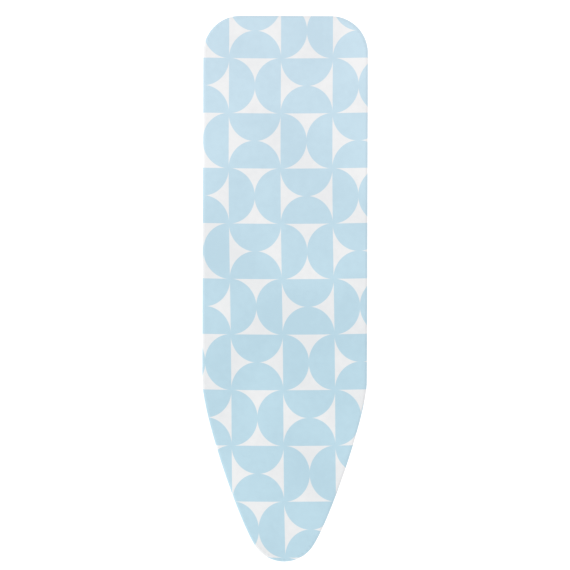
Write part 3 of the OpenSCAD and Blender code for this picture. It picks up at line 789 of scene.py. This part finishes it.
def printed_cotton():
    """The cover: pale blue half discs on off-white, on a plain weave with uneven threads, with painted
    light: both colours are painted lighter towards the blunt end and at the long edges there.
    """
    sh = Shader("printed_cotton", Roughness=0.88, Sheen_Weight=0.12, Sheen_Roughness=0.45)
    cut = sh.add("ShaderNodeAttribute", attribute_name="cut").outputs["Vector"]
    mask = print_mask(sh, cut)
    parts = sh.add("ShaderNodeSeparateXYZ", {0: cut})
    # Painted light: the print and its ground are painted lighter towards the blunt end, as the light falls
    # there.
    painted_blunt_end_light = sh.ramp(parts.outputs[1], -0.15, 0.50, 0.0, 1.0)
    # Painted light: the long edges are painted lighter, most towards the blunt end.
    edge = sh.math("MULTIPLY", sh.ramp(sh.math("ABSOLUTE", parts.outputs[0]), 0.10, 0.18, 0.0, -0.45), painted_blunt_end_light)
    blue = sh.mix(painted_blunt_end_light, rgb(181, 210, 223), rgb(192, 215, 228))
    ground = sh.mix(painted_blunt_end_light, rgb(228, 229, 230), rgb(232, 232, 233))
    base = sh.mix(mask, ground, blue)
    cloud = sh.noise(5.0, 4.0, cut)
    blotch = sh.noise(60.0, 3.0, cut)
    slub_x = sh.noise(1.0, 2.0, sh.mapped((60, 1600, 1), cut))
    slub_y = sh.noise(1.0, 2.0, sh.mapped((1600, 60, 1), cut))
    uneven = sh.math("ADD", sh.ramp(cloud, 0.3, 0.7, -0.4, 1.1), sh.ramp(blotch, 0.3, 0.7, -0.1, 0.4))
    # The slub term also carries the painted lighter edges, so the sum below is random unevenness plus
    # painted edge light.
    slubs_and_edge_light = sh.math("MULTIPLY_ADD", sh.math("ADD", slub_x, slub_y), 0.16, edge)
    uneven_and_edge_light = sh.math("ADD", uneven, slubs_and_edge_light)
    tone = sh.mix(uneven_and_edge_light, (1.022, 1.020, 1.017, 1), (0.945, 0.952, 0.958, 1))
    product = sh.add("ShaderNodeMix", data_type="RGBA", blend_type="MULTIPLY")
    product.inputs[0].default_value = 1.0
    sh.link(base, product.inputs[6])
    sh.link(tone, product.inputs[7])
    sh.colour(product.outputs[2])
    threads = sh.bump(weave(sh, cut, 1.1 * MM), 0.25, 0.06 * MM)
    soft = sh.bump(sh.noise(45.0, 3.0, cut), 0.25, 0.5 * MM, threads)
    sh.normal(soft)
    return sh.material


def plain_cotton(name, colour, pitch):
    """White tape, thread or cord."""
    sh = Shader(name, Roughness=0.9, Sheen_Weight=0.15, Sheen_Roughness=0.5)
    dark = tuple(v * 0.86 for v in colour[:3]) + (1,)
    worn = sh.ramp(sh.noise(220.0, 4.0), 0.3, 0.7, 0.0, 1.0)
    sh.colour(sh.mix(worn, colour, dark))
    sh.normal(sh.bump(sh.noise(1.0 / pitch, 2.0), 0.5, 0.15 * MM))
    return sh.material


def powder_coat(name, colour, gloss):
    """Baked powder paint: a slight orange peel and a few dulled places."""
    sh = Shader(name, Roughness=gloss, IOR=1.5, Coat_Weight=0.15, Coat_Roughness=0.25)
    dark = tuple(v * 0.93 for v in colour[:3]) + (1,)
    patches = sh.ramp(sh.noise(14.0, 5.0), 0.35, 0.65, 0.0, 1.0)
    specks = sh.ramp(sh.noise(900.0, 1.0), 0.62, 0.7, 0.0, 0.5)
    sh.colour(sh.mix(sh.math("MAXIMUM", patches, specks), colour, dark))
    sh.roughness(sh.ramp(sh.noise(30.0, 4.0), 0.3, 0.7, gloss - 0.05, gloss + 0.09))
    peel = sh.bump(sh.noise(420.0, 2.0), 0.12, 0.25 * MM)
    sh.normal(peel)
    return sh.material


def zinc_plate(name, colour, dull):
    """Bright zinc: faint rolling lines, and clouds where the plating is duller."""
    sh = Shader(name, Metallic=1.0, Roughness=dull)
    dark = (colour[0] * 0.88, colour[1] * 0.89, colour[2] * 0.91, 1)
    warm = (colour[0] * 0.99, colour[1] * 0.96, colour[2] * 0.88, 1)
    clouds = sh.ramp(sh.noise(38.0, 6.0, roughness=0.65), 0.35, 0.68, 0.0, 1.0)
    tint = sh.ramp(sh.noise(9.0, 3.0), 0.45, 0.75, 0.0, 0.6)
    sh.colour(sh.mix(tint, sh.mix(clouds, colour, dark), warm))
    lines = sh.noise(1.0, 3.0, sh.mapped((900, 14, 900)))
    sh.roughness(sh.math("ADD", sh.ramp(clouds, 0.0, 1.0, dull - 0.06, dull + 0.10),
                         sh.math("MULTIPLY", lines, 0.06)))
    sh.normal(sh.bump(lines, 0.12, 0.08 * MM))
    return sh.material


def moulded_plastic(name, colour, grain, rough):
    """Plastic with a fine moulded grain and a few paler scuffs."""
    sh = Shader(name, Roughness=rough, IOR=1.46)
    pale = tuple(min(1.0, v * 1.35 + 0.01) for v in colour[:3]) + (1,)
    scuff = sh.ramp(sh.noise(60.0, 6.0, roughness=0.7), 0.55, 0.8, 0.0, 0.7)
    sh.colour(sh.mix(scuff, colour, pale))
    sh.roughness(sh.ramp(sh.noise(160.0, 3.0), 0.3, 0.7, rough - 0.06, rough + 0.08))
    cells = sh.add("ShaderNodeTexVoronoi", {"Vector": sh.place, "Scale": grain}).outputs["Distance"]
    sh.normal(sh.bump(cells, 0.25, 0.08 * MM))
    return sh.material


def open_foam():
    """Foam with small open cells."""
    sh = Shader("foam", Roughness=0.95)
    cells = sh.add("ShaderNodeTexVoronoi", {"Vector": sh.place, "Scale": 900.0}).outputs["Distance"]
    sh.colour(sh.mix(sh.ramp(cells, 0.1, 0.5, 0.0, 1.0), rgb(226, 222, 206), rgb(184, 178, 160)))
    sh.normal(sh.bump(cells, 0.8, 0.5 * MM))
    return sh.material


def needled_felt():
    """Felt: fibres lying both ways."""
    sh = Shader("felt", Roughness=0.97, Sheen_Weight=0.25, Sheen_Roughness=0.6)
    fibres = sh.noise(1.0, 6.0, sh.mapped((900, 260, 500)), 0.75)
    flecks = sh.noise(1.0, 6.0, sh.mapped((240, 1000, 500)), 0.75)
    mixed = sh.math("MAXIMUM", fibres, flecks)
    sh.colour(sh.mix(sh.ramp(mixed, 0.45, 0.75, 0.0, 1.0), rgb(150, 147, 140), rgb(190, 187, 178)))
    sh.normal(sh.bump(mixed, 0.8, 0.4 * MM))
    return sh.material


def paint_nodes(materials):
    """Gives each CAD node that still shows the material of its slot."""
    slots = {entry["node"]: entry["material_slot"] for entry in frame["record"]["subparts"]}
    for name, obj in frame["nodes"].items():
        material = materials[slots[name]]
        if not obj.data.materials:
            obj.data.materials.append(material)
        for place in obj.material_slots:
            place.material = material


# ---------- camera, floor and lights ----------

def camera():
    """Straight above the board, with the nose at the bottom of the picture."""
    made = bpy.data.cameras.new("camera")
    made.lens = LENS
    made.sensor_width = 36
    made.clip_end = 100
    obj = bpy.data.objects.new("camera", made)
    obj.location = (CAMERA_X, CAMERA_Y, TOP_Z + CAMERA_UP)
    obj.rotation_euler = (0, 0, CAMERA_ROLL)
    bpy.context.scene.collection.objects.link(obj)
    bpy.context.scene.camera = obj


def floor():
    """A wide pale floor that the board stands on."""
    size = 30
    mesh = bpy.data.meshes.new("floor")
    corners = [(-size, -size, 0), (size, -size, 0), (size, size, 0), (-size, size, 0)]
    mesh.from_pydata(corners, [], [(0, 1, 2, 3)])
    obj = bpy.data.objects.new("floor", mesh)
    bpy.context.scene.collection.objects.link(obj)
    sh = Shader("floor", Roughness=0.8, Emission_Color=(1, 1, 1, 1), Emission_Strength=0.14)
    patches = sh.ramp(sh.noise(3.0, 2.0), 0.3, 0.7, 0.0, 1.0)
    sh.colour(sh.mix(patches, (0.97, 0.97, 0.97, 1), (0.95, 0.95, 0.955, 1)))
    mesh.materials.append(sh.material)


def lights():
    """A white room, and a wide soft sun low enough to throw the board's shadow out of the picture."""
    world = bpy.data.worlds.new("studio")
    world.use_nodes = True
    world.node_tree.nodes["Background"].inputs["Color"].default_value = (1, 1, 1, 1)
    world.node_tree.nodes["Background"].inputs["Strength"].default_value = 0.942
    bpy.context.scene.world = world
    made = bpy.data.lights.new("window", "SUN")
    made.energy = 0.75
    made.angle = math.radians(22)
    obj = bpy.data.objects.new("window", made)
    obj.rotation_euler = Vector((0.9, 0.42, -0.83)).to_track_quat("-Z", "Y").to_euler()
    bpy.context.scene.collection.objects.link(obj)
    bpy.context.scene.view_settings.view_transform = "Standard"


camera()
floor()
lights()

MATERIALS = {
    "printed_cotton": printed_cotton(),
    "hem_cotton": plain_cotton("hem_cotton", rgb(232, 232, 232), 0.9 * MM),
    "cord": plain_cotton("cord", rgb(224, 222, 214), 0.5 * MM),
    "foam": open_foam(),
    "felt": needled_felt(),
    "coated_steel_sheet": powder_coat("coated_steel_sheet", rgb(206, 208, 210), 0.5),
    "coated_tube": powder_coat("coated_tube", rgb(172, 175, 179), 0.34),
    "zinc_steel": zinc_plate("zinc_steel", (0.66, 0.67, 0.69, 1), 0.34),
    "grey_plastic": moulded_plastic("grey_plastic", rgb(84, 87, 92), 1400.0, 0.5),
    "nylon": moulded_plastic("nylon", rgb(222, 219, 208), 900.0, 0.4),
    "spring_steel": zinc_plate("spring_steel", (0.52, 0.52, 0.53, 1), 0.28),
}
paint_nodes(MATERIALS)

cloth, cloth_reach, stitch_ring = cover_cloth()
channel = hem_channel()
stitches = hem_stitching(stitch_ring)
cord = drawstring_cord()
coil = lock_spring()
made = [
    (cloth, "printed_cotton"),
    (channel, "hem_cotton"),
    (stitches, "hem_cotton"),
    (cord, "cord"),
    (coil, "spring_steel"),
]
for side, bar, top_pin in (
    ("inner", "nose_foot_bar", "pivot_axle"),
    ("outer", "blunt_foot_bar", "slider_rod"),
):
    tubes = (side + "_leg_tube_left", side + "_leg_tube_right")
    beads = weld_beads(side + "_leg_welds", side + "_legs", tubes, bar, side + "_leg_brace", top_pin)
    made.append((beads, "coated_tube"))
made.append((pad_layer("foam_layer", "foam_pad", 3.8 * MM), "foam"))
made.append((pad_layer("felt_layer", "felt_pad", 0.6 * MM), "felt"))
for obj, slot in made:
    obj.data.materials.append(MATERIALS[slot])
